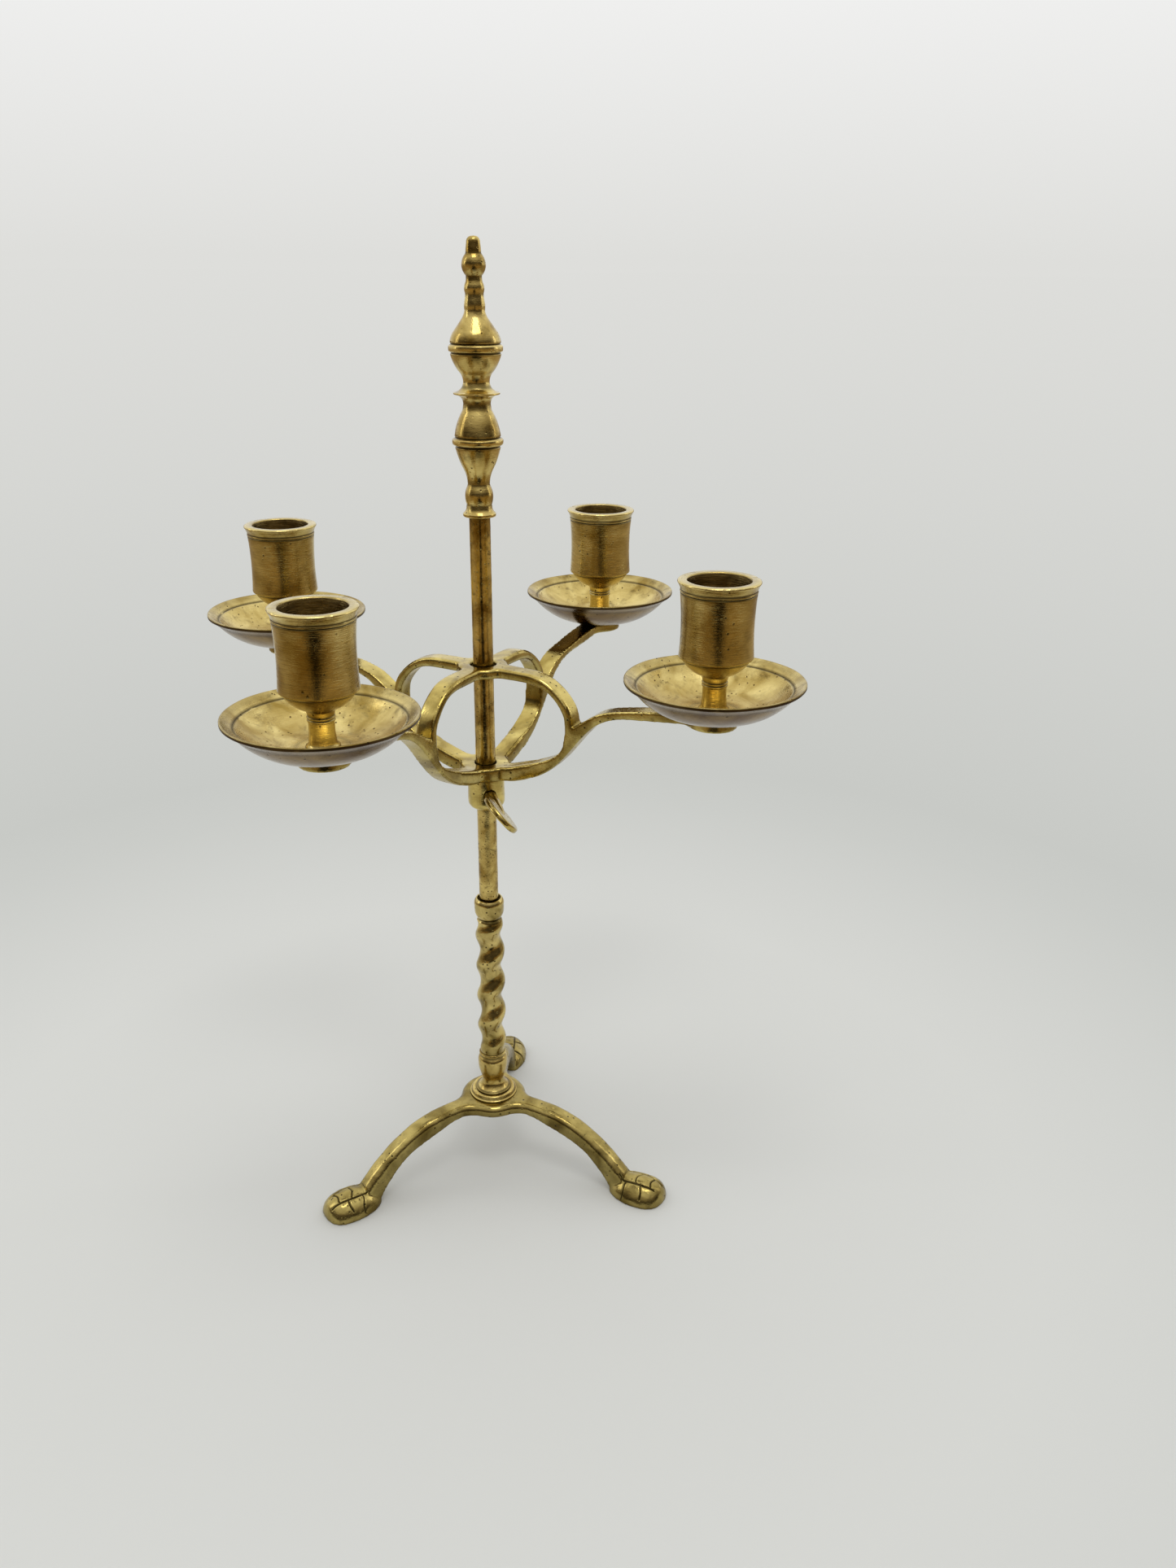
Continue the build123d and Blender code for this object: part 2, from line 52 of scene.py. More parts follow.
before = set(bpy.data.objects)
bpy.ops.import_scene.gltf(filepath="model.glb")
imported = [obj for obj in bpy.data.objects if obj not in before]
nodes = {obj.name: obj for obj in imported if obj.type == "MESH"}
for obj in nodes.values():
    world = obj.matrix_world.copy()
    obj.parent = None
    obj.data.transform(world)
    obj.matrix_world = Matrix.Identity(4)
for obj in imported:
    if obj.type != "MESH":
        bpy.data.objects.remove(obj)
cad_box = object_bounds()


# ------------------------------------------------------------------- places in the frame


def axis_of(node):
    """Middle of a node's box in plan, at the node's lowest height."""
    low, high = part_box(node)
    return Vector(((low.x + high.x) / 2, (low.y + high.y) / 2, low.z))


COUNT = 4
STEM_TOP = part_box("twist_stem")[1].z / MM
KNOP_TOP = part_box("base_knop")[1].z / MM
STUD_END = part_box("twist_stem")[0].z / MM
ROD_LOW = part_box("slide_rod")[0].z / MM
ROD_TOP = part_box("finial")[0].z / MM
ROD_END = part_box("slide_rod")[1].z / MM
CUP_HEIGHT = (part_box("candle_cup_1")[1].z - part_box("candle_cup_1")[0].z) / MM
FLOOR_Z = cad_box[0].z


# ------------------------------------------------------------------------- mesh helpers

SHARP = radians(32)


def arc(start, end, bulge, steps):
    """Points after start on the arc to end that rises by bulge to the right of the way."""
    chord = end - start
    half = chord.length / 2
    side = Vector((chord.y, -chord.x)).normalized()
    radius = (half**2 + bulge**2) / (2 * bulge)
    centre = (start + end) / 2 + side * (bulge - radius)
    first = atan2(start.y - centre.y, start.x - centre.x)
    last = atan2(end.y - centre.y, end.x - centre.x)
    sweep = (last - first + pi) % (2 * pi) - pi
    points = []
    for step in range(1, steps + 1):
        turn = first + sweep * step / steps
        points.append(centre + abs(radius) * Vector((cos(turn), sin(turn))))
    return points


def profile(stations):
    """Points of a turned profile from (radius, height) and (radius, height, bulge) stations."""
    points = [Vector(stations[0][:2])]
    for station in stations[1:]:
        end = Vector(station[:2])
        length = (end - points[-1]).length
        if len(station) == 3:
            steps = max(4, min(18, round(length / 0.7)))
            points += arc(points[-1], end, station[2], steps)
        else:
            steps = max(1, round(length / 2.0))
            start = points[-1]
            points += [start.lerp(end, step / steps) for step in range(1, steps + 1)]
    return points


def spun(stations, place, turns=128, soften=0.12):
    """Bmesh of a closed profile spun about a vertical axis, with its crisp corners eased."""
    bm = bmesh.new()
    verts = [bm.verts.new((point.x * MM, 0, point.y * MM)) for point in profile(stations)]
    edges = [bm.edges.new(pair) for pair in zip(verts, verts[1:])]
    if (verts[0].co - verts[-1].co).length > 1e-7 and verts[0].co.x > 1e-7:
        edges.append(bm.edges.new((verts[-1], verts[0])))
    bmesh.ops.spin(
        bm,
        geom=verts + edges,
        cent=(0, 0, 0),
        axis=(0, 0, 1),
        angle=2 * pi,
        steps=turns,
        use_merge=True,
    )
    bmesh.ops.remove_doubles(bm, verts=bm.verts, dist=0.002 * MM)
    bmesh.ops.recalc_face_normals(bm, faces=bm.faces)
    crisp = [edge for edge in bm.edges if edge.is_manifold and edge.calc_face_angle(0) > SHARP]
    bmesh.ops.bevel(
        bm,
        geom=crisp,
        offset=soften * MM,
        affect="EDGES",
        segments=2,
        profile=0.5,
        material=-1,
        clamp_overlap=True,
    )
    bmesh.ops.translate(bm, verts=bm.verts, vec=place)
    return bm


def roughen(bm, size, depth):
    """Move each vertex a little along its normal, in soft lumps of a size in millimetres."""
    bm.normal_update()
    scale = 1 / (size * MM)
    moves = []
    for vert in bm.verts:
        moves.append(vert.normal * noise.noise(vert.co * scale) * depth * MM)
    for vert, move in zip(bm.verts, moves):
        vert.co += move


def dent(bm, centre, reach, depth):
    """Press a small round dent into the surface near a point."""
    for vert in bm.verts:
        gap = (vert.co - centre).length
        if gap < reach:
            vert.co -= vert.normal * depth * (1 - (gap / reach) ** 2) ** 2


def finish_piece(name, bm, body, materials, replaced, turning=None, rings=()):
    """Make a finished, smooth piece of a bmesh, in place of CAD nodes, riding on a body.

    turning is the foot of a turned piece's axis, and rings the (radius, height, reach, share)
    of the grooves in which grime has gathered, or with a share below zero of rubbed edges.
    """
    bmesh.ops.remove_doubles(bm, verts=bm.verts, dist=0.002 * MM)
    bmesh.ops.dissolve_degenerate(bm, edges=bm.edges, dist=0.001 * MM)
    bmesh.ops.recalc_face_normals(bm, faces=bm.faces)
    if rings:
        lay_grime_and_shade(bm, [ring_grime(vert.co - turning, rings) for vert in bm.verts])
    for face in bm.faces:
        face.smooth = True
    for edge in bm.edges:
        edge.smooth = edge.calc_face_angle(0) < SHARP * 1.4
    mesh = bpy.data.meshes.new(name)
    bm.to_mesh(mesh)
    bm.free()
    if turning is not None:
        place = mesh.attributes.new("turning", "FLOAT_VECTOR", "POINT")
        for vert, value in zip(mesh.vertices, place.data):
            value.vector = (vert.co - turning) / MM
    for material in materials:
        mesh.materials.append(material)
    made = bpy.data.objects.new(name, mesh)
    bpy.context.scene.collection.objects.link(made)
    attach(made, body)
    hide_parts(*replaced)
    return made


def smooth(bm, verts, passes):
    """Round a surface by drawing each vertex toward its neighbours, pass after pass."""
    for _ in range(passes):
        bmesh.ops.smooth_vert(
            bm, verts=verts, factor=0.5, use_axis_x=True, use_axis_y=True, use_axis_z=True
        )


def cast_copy(sources, voxel, passes):
    """Bmesh of CAD nodes grown into one skin, its edges rounded by smoothing."""
    bm = bmesh.new()
    for source in sources:
        bm.from_mesh(nodes[source].data)
    bmesh.ops.remove_doubles(bm, verts=bm.verts, dist=0.01 * MM)
    rough = bpy.data.meshes.new("rough")
    bm.to_mesh(rough)
    bm.free()
    blank = bpy.data.objects.new("blank", rough)
    bpy.context.scene.collection.objects.link(blank)
    remesh = blank.modifiers.new("skin", "REMESH")
    remesh.mode = "VOXEL"
    remesh.voxel_size = voxel * MM
    ready = blank.evaluated_get(bpy.context.evaluated_depsgraph_get())
    bm = bmesh.new()
    bm.from_mesh(ready.to_mesh())
    bpy.data.objects.remove(blank)
    bpy.data.meshes.remove(rough)
    smooth(bm, bm.verts, passes)
    bm.normal_update()
    return bm


def painted_side_shade(bm, share):
    """Painted shade on a casting: none on top, a share on sides and underneath, by how far each vertex faces
    away from up.
    """
    bm.normal_update()
    return [share * min(1.0, max(0.0, (0.6 - vert.normal.z) / 0.7)) for vert in bm.verts]


def ring_grime(place, rings):
    """Grime at a place of a turned piece, from the rings that lie near it."""
    at = Vector((place.xy.length, place.z)) / MM
    marks = [
        share * max(0.0, 1 - (at - Vector((radius, height))).length / reach)
        for radius, height, reach, share in rings
    ]
    return sum(marks)


def lay_grime_and_shade(bm, values):
    """Store how much dark grime or painted shade sits at each vertex, 0 to 1, or how rubbed it is, 0 to -1.
    """
    layer = bm.verts.layers.float.new("grime_and_painted_shade")
    for vert, value in zip(bm.verts, values):
        vert[layer] = value


# ---------------------------------------------------------------------------- materials


def colour(hexes):
    """Linear RGBA of an sRGB hex colour."""
    values = [int(hexes[i : i + 2], 16) / 255 for i in (1, 3, 5)]
    return [v / 12.92 if v <= 0.04045 else ((v + 0.055) / 1.055) ** 2.4 for v in values] + [1]


def add(tree, kind, inputs=None, **settings):
    """Add a node, set its properties, and give each input a value or a link."""
    made = tree.nodes.new(kind)
    for name, value in settings.items():
        setattr(made, name, value)
    for key, value in (inputs or {}).items():
        if isinstance(value, bpy.types.NodeSocket):
            tree.links.new(value, made.inputs[key])
        else:
            made.inputs[key].default_value = value
    return made


MIX_A, MIX_B, MIX_RESULT = 6, 7, 2


def brass(name, bright, body_tone, dark, rough, stain_mm, pits, lines, stains=0.5):
    """Old brass of one finish.

    bright, body_tone and dark are the rubbed metal, the toned metal and the tarnish. rough
    is (least, most) roughness, stain_mm the size of the tarnish clouds, pits (spacing in mm,
    share), lines how strong the lathe or brush lines are, and stains how deep the tarnish is.
    """
    material = bpy.data.materials.new(name)
    material.use_nodes = True
    tree = material.node_tree
    shader = tree.nodes["Principled BSDF"]
    shader.inputs["Metallic"].default_value = 1.0
    here = add(tree, "ShaderNodeTexCoord").outputs["Object"]
    # one unit of the pattern space is one millimetre
    place = add(tree, "ShaderNodeMapping", {"Vector": here, "Scale": (1000, 1000, 1000)}).outputs[0]

    def noise_field(size, detail=4.0, warp=0.0, vector=place):
        inputs = {"Vector": vector, "Scale": 1 / size, "Detail": detail, "Distortion": warp}
        return add(tree, "ShaderNodeTexNoise", inputs).outputs["Fac"]

    def ramp(value, low, high, start=0.0, end=1.0):
        inputs = {"Value": value, 1: low, 2: high, 3: start, 4: end}
        return add(tree, "ShaderNodeMapRange", inputs).outputs[0]

    def maths(kind, first, second):
        return add(tree, "ShaderNodeMath", {0: first, 1: second}, operation=kind).outputs[0]

    def mix(share, first, second):
        inputs = {0: share, MIX_A: first, MIX_B: second}
        return add(tree, "ShaderNodeMix", inputs, data_type="RGBA").outputs[MIX_RESULT]

    # clouds of tone: rubbed metal, toned metal, then brown tarnish where it gathers
    cloud = ramp(noise_field(stain_mm, 5.0, 0.6), 0.36, 0.66)
    mottle = ramp(noise_field(stain_mm / 5, 4.0, 0.3), 0.35, 0.7)
    tone = mix(cloud, colour(bright), colour(body_tone))
    tarnish = maths("MULTIPLY", ramp(noise_field(stain_mm * 0.6, 6.0, 1.2), 0.5, 0.66), mottle)
    tone = mix(maths("MULTIPLY", tarnish, stains), tone, colour(dark))

    # casting and wear pits, in patches
    spacing, share = pits
    cells = add(
        tree, "ShaderNodeTexVoronoi", {"Vector": place, "Scale": 1 / spacing, "Randomness": 1.0}
    ).outputs["Distance"]
    hole = ramp(cells, 0.1, 0.2, 1.0, 0.0)
    patch = ramp(noise_field(stain_mm * 0.45, 3.0), 0.62 - share / 2, 0.7 - share / 2)
    hole = maths("MULTIPLY", hole, patch)
    tone = mix(maths("MULTIPLY", hole, 0.9), tone, colour(dark))

    # painted shade in corners, and what is laid on each piece: grime in its grooves and, on the castings,
    # painted shade on sides and underneath
    # painted shade: ambient occlusion within 3 mm darkens the base colour toward near-black #1E150A in
    # corners and crevices
    painted_corner_shade = add(tree, "ShaderNodeAmbientOcclusion", {"Distance": 3.0 * MM}, samples=6).outputs["AO"]
    painted_corner_shade = ramp(painted_corner_shade, 0.3, 0.88, 1.0, 0.0)
    painted_corner_shade = maths("MULTIPLY", painted_corner_shade, ramp(mottle, 0.0, 1.0, 0.6, 1.0))
    laid_grime_and_shade = add(tree, "ShaderNodeAttribute", attribute_name="grime_and_painted_shade").outputs["Fac"]
    dirt_and_painted_shade = maths("MAXIMUM", maths("MULTIPLY", painted_corner_shade, 0.8), laid_grime_and_shade)
    tone = mix(dirt_and_painted_shade, tone, colour("#1E150A"))

    # rubbed edges
    edge = add(tree, "ShaderNodeNewGeometry").outputs["Pointiness"]
    edge = maths("MULTIPLY", ramp(edge, 0.53, 0.6), 0.6)
    edge = maths("MAXIMUM", edge, maths("MULTIPLY", laid_grime_and_shade, -1.0))
    tone = mix(edge, tone, colour(bright))
    tree.links.new(tone, shader.inputs["Base Color"])

    # lines that run round the turned pieces: coarse tool marks and fine brushing
    grain = noise_field(0.45, 3.0)
    height = maths("MULTIPLY", grain, 0.1)
    least, most = rough
    surface = ramp(noise_field(stain_mm / 2.5, 5.0), 0.3, 0.75, least, most)
    if lines:
        local = add(tree, "ShaderNodeAttribute", attribute_name="turning").outputs["Vector"]
        parts = add(tree, "ShaderNodeSeparateXYZ", {"Vector": local})
        flat = add(tree, "ShaderNodeCombineXYZ", {0: parts.outputs[0], 1: parts.outputs[1]}).outputs[0]
        radius = add(tree, "ShaderNodeVectorMath", {0: flat}, operation="LENGTH").outputs["Value"]
        way = add(tree, "ShaderNodeVectorMath", {0: flat}, operation="NORMALIZE").outputs["Vector"]
        way = add(
            tree, "ShaderNodeVectorMath", {0: way, 3: 2.2}, operation="SCALE"
        ).outputs["Vector"]
        step = add(tree, "ShaderNodeSeparateXYZ", {"Vector": way})
        rise = maths("ADD", parts.outputs[2], maths("MULTIPLY", radius, 1.37))
        streak_place = add(
            tree,
            "ShaderNodeCombineXYZ",
            {0: step.outputs[0], 1: step.outputs[1], 2: maths("MULTIPLY", rise, 5.5)},
        ).outputs[0]
        brush = noise_field(1.0, 4.0, 0.0, streak_place)
        coarse_place = add(
            tree,
            "ShaderNodeCombineXYZ",
            {0: step.outputs[0], 1: step.outputs[1], 2: maths("MULTIPLY", rise, 1.6)},
        ).outputs[0]
        coarse = noise_field(1.0, 2.0, 0.0, coarse_place)
        height = maths("ADD", height, maths("MULTIPLY", brush, 0.9 * lines))
        height = maths("ADD", height, maths("MULTIPLY", coarse, 0.7 * lines))
        streaks = mix(ramp(brush, 0.42, 0.72, 0.0, 0.4 * lines), tone, colour(dark))
        tree.links.new(streaks, shader.inputs["Base Color"])
        surface = maths("ADD", surface, ramp(brush, 0.3, 0.7, -0.05 * lines, 0.09 * lines))
    surface = maths("ADD", surface, maths("MULTIPLY", dirt_and_painted_shade, 0.35))
    surface = maths("ADD", surface, maths("MULTIPLY", hole, 0.2))
    tree.links.new(surface, shader.inputs["Roughness"])

    height = maths("SUBTRACT", height, maths("MULTIPLY", hole, 1.6))
    scuffs = ramp(noise_field(stain_mm / 9, 6.0, 2.0), 0.45, 0.6)
    height = maths("ADD", height, maths("MULTIPLY", scuffs, 0.16))
    bump = add(tree, "ShaderNodeBump", {"Strength": 0.8, "Distance": 0.08 * MM, "Height": height})
    tree.links.new(bump.outputs["Normal"], shader.inputs["Normal"])
    return material


# Sand-cast brass, filed and hand polished: satin, cloudy, with pits left from the mould.
CAST = brass("sand_cast_brass", "#DDC777", "#9A8340", "#382B11", (0.08, 0.22), 13, (2.6, 0.4), 0, 0.4)
# The base's casting, handled less and cleaned less: deeper in tone, more olive.
FOOTED = brass(
    "darkened_cast_brass", "#C4B06A", "#7F6C36", "#2E230D", (0.09, 0.24), 15, (2.6, 0.45), 0, 0.5
)
# The same casting wound while hot and polished along its ridges: glossier, with painted corner shade dark in
# its hollows.
WOUND = brass("wound_cast_brass", "#D9C27A", "#86723A", "#30250E", (0.07, 0.2), 10, (2.2, 0.4), 0, 0.6)
# Lathe-turned brass, polished: clear reflections crossed by fine rings.
TURNED = brass(
    "lathe_turned_brass", "#E4CB7E", "#A1833C", "#3A2A0C", (0.06, 0.18), 12, (2.2, 0.3), 0.5, 0.5
)
# The same brass brushed round with an abrasive cloth: warm, streaked, sharper up close.
BRUSHED = brass(
    "brushed_turned_brass", "#DFCA84", "#A08540", "#4F3A14", (0.07, 0.17), 16, (2.6, 0.2), 0.9, 0.35
)
# Brass of the candle bores, never polished: brown and dull, with the boring tool's rings.
BORED = brass(
    "tarnished_bored_brass", "#CDB474", "#937A48", "#3C2D14", (0.24, 0.38), 9, (1.8, 0.1), 2.0, 0.6
)
# Spun sheet brass, wiped clean of wax many times: pale, satin, with tarnish clouds.
SPUN = brass(
    "spun_sheet_brass", "#E6CF86", "#AC9048", "#4A3713", (0.1, 0.24), 12, (2.2, 0.3), 0.35, 0.55
)
# Faces of the pans that don't face up: a copy of the same sheet painted darker and browner as shade, still
# smooth.
SHADED_UNDERSIDE_BRASS = brass(
    "spun_brass_painted_shade_underside", "#8F7850", "#6A5337", "#352414", (0.1, 0.22), 14, (2.2, 0.2), 0.3, 0.5
)
# Drawn bar, pitted and stained by handling.
DRAWN = brass("drawn_bar_brass", "#E0C678", "#96793A", "#33240A", (0.07, 0.2), 8, (1.6, 0.6), 0.3, 0.8)


def zinc_steel():
    """Zinc-plated steel, dulled: grey and slightly blotched, as under any old lamp."""
    material = bpy.data.materials.new("dull_zinc_plated_steel")
    material.use_nodes = True
    tree = material.node_tree
    shader = tree.nodes["Principled BSDF"]
    shader.inputs["Metallic"].default_value = 1.0
    here = add(tree, "ShaderNodeTexCoord").outputs["Object"]
    place = add(tree, "ShaderNodeMapping", {"Vector": here, "Scale": (1000, 1000, 1000)}).outputs[0]
    spangle = add(tree, "ShaderNodeTexNoise", {"Vector": place, "Scale": 1 / 1.4, "Detail": 5.0})
    inputs = {0: spangle.outputs["Fac"], MIX_A: colour("#6E6B66"), MIX_B: colour("#A5A29B")}
    tone = add(tree, "ShaderNodeMix", inputs, data_type="RGBA")
    tree.links.new(tone.outputs[MIX_RESULT], shader.inputs["Base Color"])
    inputs = {"Value": spangle.outputs["Fac"], 3: 0.3, 4: 0.55}
    rough = add(tree, "ShaderNodeMapRange", inputs)
    tree.links.new(rough.outputs[0], shader.inputs["Roughness"])
    inputs = {"Strength": 0.3, "Distance": 0.03 * MM, "Height": spangle.outputs["Fac"]}
    bump = add(tree, "ShaderNodeBump", inputs)
    tree.links.new(bump.outputs["Normal"], shader.inputs["Normal"])
    return material


STEEL = zinc_steel()


# ------------------------------------------------------------------------ turned pieces

FINIAL = [
    (2.55, 0), (5.9, 0), (6.2, 0.4, 0.08), (6.2, 1.1), (4.8, 3.9, -0.45), (4.7, 4.2), (4.8, 4.6),
    (4.3, 11.2, 0.7), (4.1, 12.0), (4.2, 13.0), (5.4, 17.1, -0.2), (8.4, 25.2, 0.3), (8.0, 25.6),
    (8.5, 26.0), (9.3, 26.5, 0.1), (9.3, 28.2, 0.12), (8.6, 28.6), (8.1, 28.9), (8.5, 29.3),
    (5.3, 38.6, 0.5), (5.0, 40.6), (5.4, 42.3, -0.1), (8.5, 44.0, -0.45), (8.5, 44.6),
    (5.4, 46.4, -0.35), (4.8, 48.3, -0.1), (5.7, 51.2, -0.2), (9.2, 57.9, 0.5), (8.8, 58.2),
    (9.2, 58.6), (9.8, 59.0, 0.05), (9.8, 60.7, 0.05), (9.3, 61.1), (8.8, 61.4), (9.2, 61.8),
    (7.6, 65.9, 0.35), (5.0, 69.6), (3.7, 72.6, -0.2), (3.55, 76.0, 0.15), (3.3, 78.2, -0.05),
    (3.05, 82.0, 0.42), (2.85, 84.0, -0.05), (3.0, 91.0, 1.4), (2.8, 91.4), (2.5, 94.6, 0.05),
    (1.3, 96.8, 0.4), (0, 97.0), (0, 13.0), (2.55, 13.0),
]
FINIAL_RINGS = [
    (4.7, 4.2, 0.7, 0.5), (4.2, 12.4, 1.4, 0.5), (8.0, 25.6, 0.8, 1.0), (8.1, 28.9, 0.8, 1.0),
    (5.0, 40.4, 2.4, 0.5), (5.2, 46.6, 1.4, 0.7), (8.8, 58.2, 0.8, 1.0), (8.8, 61.4, 0.8, 1.0),
    (3.3, 77.8, 1.0, 0.5), (2.85, 83.6, 1.0, 0.5), (2.8, 91.3, 0.6, 0.8),
    (9.4, 27.3, 1.2, -1.0), (9.9, 59.8, 1.2, -1.0), (8.6, 44.3, 0.9, -0.8), (6.2, 0.8, 1.0, -0.8),
]

BASE_KNOP = [
    (3.05, 0), (10.4, 0), (10.4, 0.7), (9.9, 0.9), (9.5, 1.1), (8.0, 2.4, 0.7), (7.5, 2.4),
    (7.5, 3.1, 0.25), (7.0, 3.3), (5.0, 9.0, -0.9), (6.5, 16.6, 0.45), (5.5, 19.6, 0.35),
    (5.5, 20.2), (5.5, 21.5, 0.45), (3.05, 21.5),
]
KNOP_RINGS = [
    (9.6, 1.0, 0.7, 0.8), (7.6, 2.5, 0.8, 0.9), (7.1, 3.3, 0.7, 0.9), (10.4, 0, 0.8, 0.8),
    (5.4, 19.9, 0.7, 0.9), (5.4, 21.5, 0.6, 0.7), (10.4, 0.7, 0.5, -0.6), (9.0, 1.8, 0.9, -0.7),
]

FOOT_R = 13.4
RIM_R = 14.7
BORE_R = 11.25
BORE_DEPTH = 24.0
CUP = [
    (2.05, 0), (5.7, 0), (5.7, 0.7, 0.1), (4.7, 2.8, -0.4), (4.35, 5.4), (4.35, 9.0),
    (4.35, 10.1, 0.4), (4.35, 11.1, 0.4), (4.6, 11.7), (5.8, 13.7, -0.3), (12.2, 19.2, 0.8),
    (12.4, 19.5), (FOOT_R - 0.35, 19.8), (FOOT_R, 20.6, 0.15),
    (FOOT_R + 0.1, CUP_HEIGHT - 5.0, -0.5), (FOOT_R + 0.1, CUP_HEIGHT - 4.6),
    (FOOT_R - 0.15, CUP_HEIGHT - 4.4), (FOOT_R + 0.25, CUP_HEIGHT - 4.1),
    (FOOT_R + 0.25, CUP_HEIGHT - 3.6), (FOOT_R + 0.05, CUP_HEIGHT - 3.4),
    (RIM_R, CUP_HEIGHT - 0.7, -0.12), (RIM_R - 0.5, CUP_HEIGHT, 0.15), (BORE_R + 0.35, CUP_HEIGHT),
    (BORE_R, CUP_HEIGHT - 0.4), (BORE_R, CUP_HEIGHT - BORE_DEPTH), (0, CUP_HEIGHT - BORE_DEPTH),
    (0, 11.0), (2.05, 11.0),
]

PAN_R = 32.7
PAN_HEIGHT = 13.9
FLANGE_R = PAN_R - 4.0
FLANGE_Z = PAN_HEIGHT - 2.2
PAN = [
    (2.15, 0), (8.0, 0), (FLANGE_R + 0.6, FLANGE_Z - 1.4, 2.6), (PAN_R, PAN_HEIGHT - 1.1, -0.1),
    (PAN_R, PAN_HEIGHT - 0.2), (PAN_R - 0.6, PAN_HEIGHT, 0.1), (FLANGE_R, FLANGE_Z, 0.1),
    (FLANGE_R - 0.35, FLANGE_Z - 0.45), (FLANGE_R - 1.0, FLANGE_Z - 0.55), (9.0, 2.4, -2.5),
    (2.15, 2.4),
]

PAN_RINGS = [
    (FLANGE_R - 0.3, FLANGE_Z - 0.3, 0.9, 0.9), (PAN_R, PAN_HEIGHT - 0.7, 1.1, 0.75),
    (9.0, 2.4, 2.0, 0.4), (PAN_R - 3.0, PAN_HEIGHT - 3.4, 1.2, 0.5),
    (FLANGE_R + 2.2, PAN_HEIGHT - 1.0, 2.6, 0.3),
]
CUP_RINGS = [
    (FOOT_R - 0.1, CUP_HEIGHT - 4.4, 0.7, 1.0), (FOOT_R + 0.1, CUP_HEIGHT - 3.3, 0.6, 0.9),
    (FOOT_R - 0.9, 19.5, 0.9, 1.0), (4.5, 10.1, 0.6, 0.6), (4.6, 11.3, 0.7, 0.8), (5.8, 0.2, 1.0, 0.8),
    (RIM_R - 0.2, CUP_HEIGHT, 1.3, -0.9), (13.1, CUP_HEIGHT, 1.9, -0.9), (5.7, 0.9, 0.5, -0.6),
    (FOOT_R + 0.4, CUP_HEIGHT - 3.85, 0.35, -0.6), (FOOT_R, 20.4, 0.7, -0.5),
]

ROD_R = 4.0
SPIGOT_R = 2.5
SEAT_DEPTH = 1.5  # how far the rod stands down in the stem's top knop
ROD_SEAT = STEM_TOP - SEAT_DEPTH - ROD_LOW
ROD = [
    (0, 0), (SPIGOT_R, 0), (SPIGOT_R, ROD_SEAT), (ROD_R, ROD_SEAT),
    (ROD_R, ROD_TOP - ROD_LOW), (SPIGOT_R, ROD_TOP - ROD_LOW), (SPIGOT_R, ROD_END - ROD_LOW),
    (0, ROD_END - ROD_LOW),
]


def make_finial():
    place = axis_of("finial")
    bm = spun(FINIAL, place, 96)
    roughen(bm, 5.0, 0.05)
    finish_piece(
        "finial_turned", bm, "stand", [TURNED], ["finial"], place, FINIAL_RINGS
    )


def make_base_knop():
    place = axis_of("base_knop")
    bm = spun(BASE_KNOP, place, 96)
    roughen(bm, 5.0, 0.05)
    finish_piece(
        "base_knop_turned", bm, "stand", [TURNED], ["base_knop"], place, KNOP_RINGS
    )


def make_rod():
    place = axis_of("slide_rod")
    bm = spun(ROD, place, 64)
    bands = [edge for edge in bm.edges if abs(edge.verts[0].co.z - edge.verts[1].co.z) > 1.5 * MM]
    bmesh.ops.subdivide_edges(bm, edges=bands, cuts=2)
    roughen(bm, 4.0, 0.05)
    finish_piece("rod_drawn", bm, "stand", [DRAWN], ["slide_rod"], place)


def make_cup(number):
    node = f"candle_cup_{number}"
    place = axis_of(node)
    bm = spun(CUP, place, 160, 0.15)
    roughen(bm, 7.0, 0.05)
    bm.normal_update()
    for index in range(5):
        turn = radians(73 * number + 61 * index + 17 * index * index)
        rim = Vector((RIM_R * cos(turn), RIM_R * sin(turn), CUP_HEIGHT - 0.3)) * MM
        dent(bm, place + rim, (0.9 + 0.3 * (index % 2)) * MM, 0.28 * MM)
    made = finish_piece(
        f"candle_cup_turned_{number}", bm, "bracket", [BRUSHED, BORED], [node],
        place, CUP_RINGS,
    )
    inside = (BORE_R + 0.15) * MM
    floor = place.z + (CUP_HEIGHT - BORE_DEPTH - 0.5) * MM
    for face in made.data.polygons:
        away = (face.center - place).xy.length
        if away < inside and face.center.z > floor:
            face.material_index = 1


def make_pan(number):
    node = f"drip_pan_{number}"
    place = axis_of(node)
    bm = spun(PAN, place, 160, 0.12)
    roughen(bm, 14.0, 0.16)
    made = finish_piece(
        f"drip_pan_spun_{number}", bm, "bracket", [SPUN, SHADED_UNDERSIDE_BRASS], [node], place, PAN_RINGS
    )
    # painted shade: faces that don't face up, away from the neck, take the darker brown copy of the brass
    for face in made.data.polygons:
        away = (face.center - place).xy.length
        if face.normal.z < 0.1 and away > 8.2 * MM:
            face.material_index = 1


# --------------------------------------------------------------------------- wound stem

TWIST_R = 5.3
TWIST_THROW = 0.9
TWIST_PITCH = 15.0
TWIST_PHASE = radians(216)
TWIST_FADE = 9.0
TOP_KNOP_HEIGHT = 10.2
TOP_KNOP = [
    (4.7, -1.0), (4.7, 0.8), (4.5, 1.0), (5.0, 1.3), (6.2, 5.2, 0.35), (6.25, 7.2, 0.08),
    (5.5, TOP_KNOP_HEIGHT, 0.4), (5.0, TOP_KNOP_HEIGHT), (5.0, TOP_KNOP_HEIGHT - SEAT_DEPTH),
    (0, TOP_KNOP_HEIGHT - SEAT_DEPTH),
]
STUD_R = 3.0


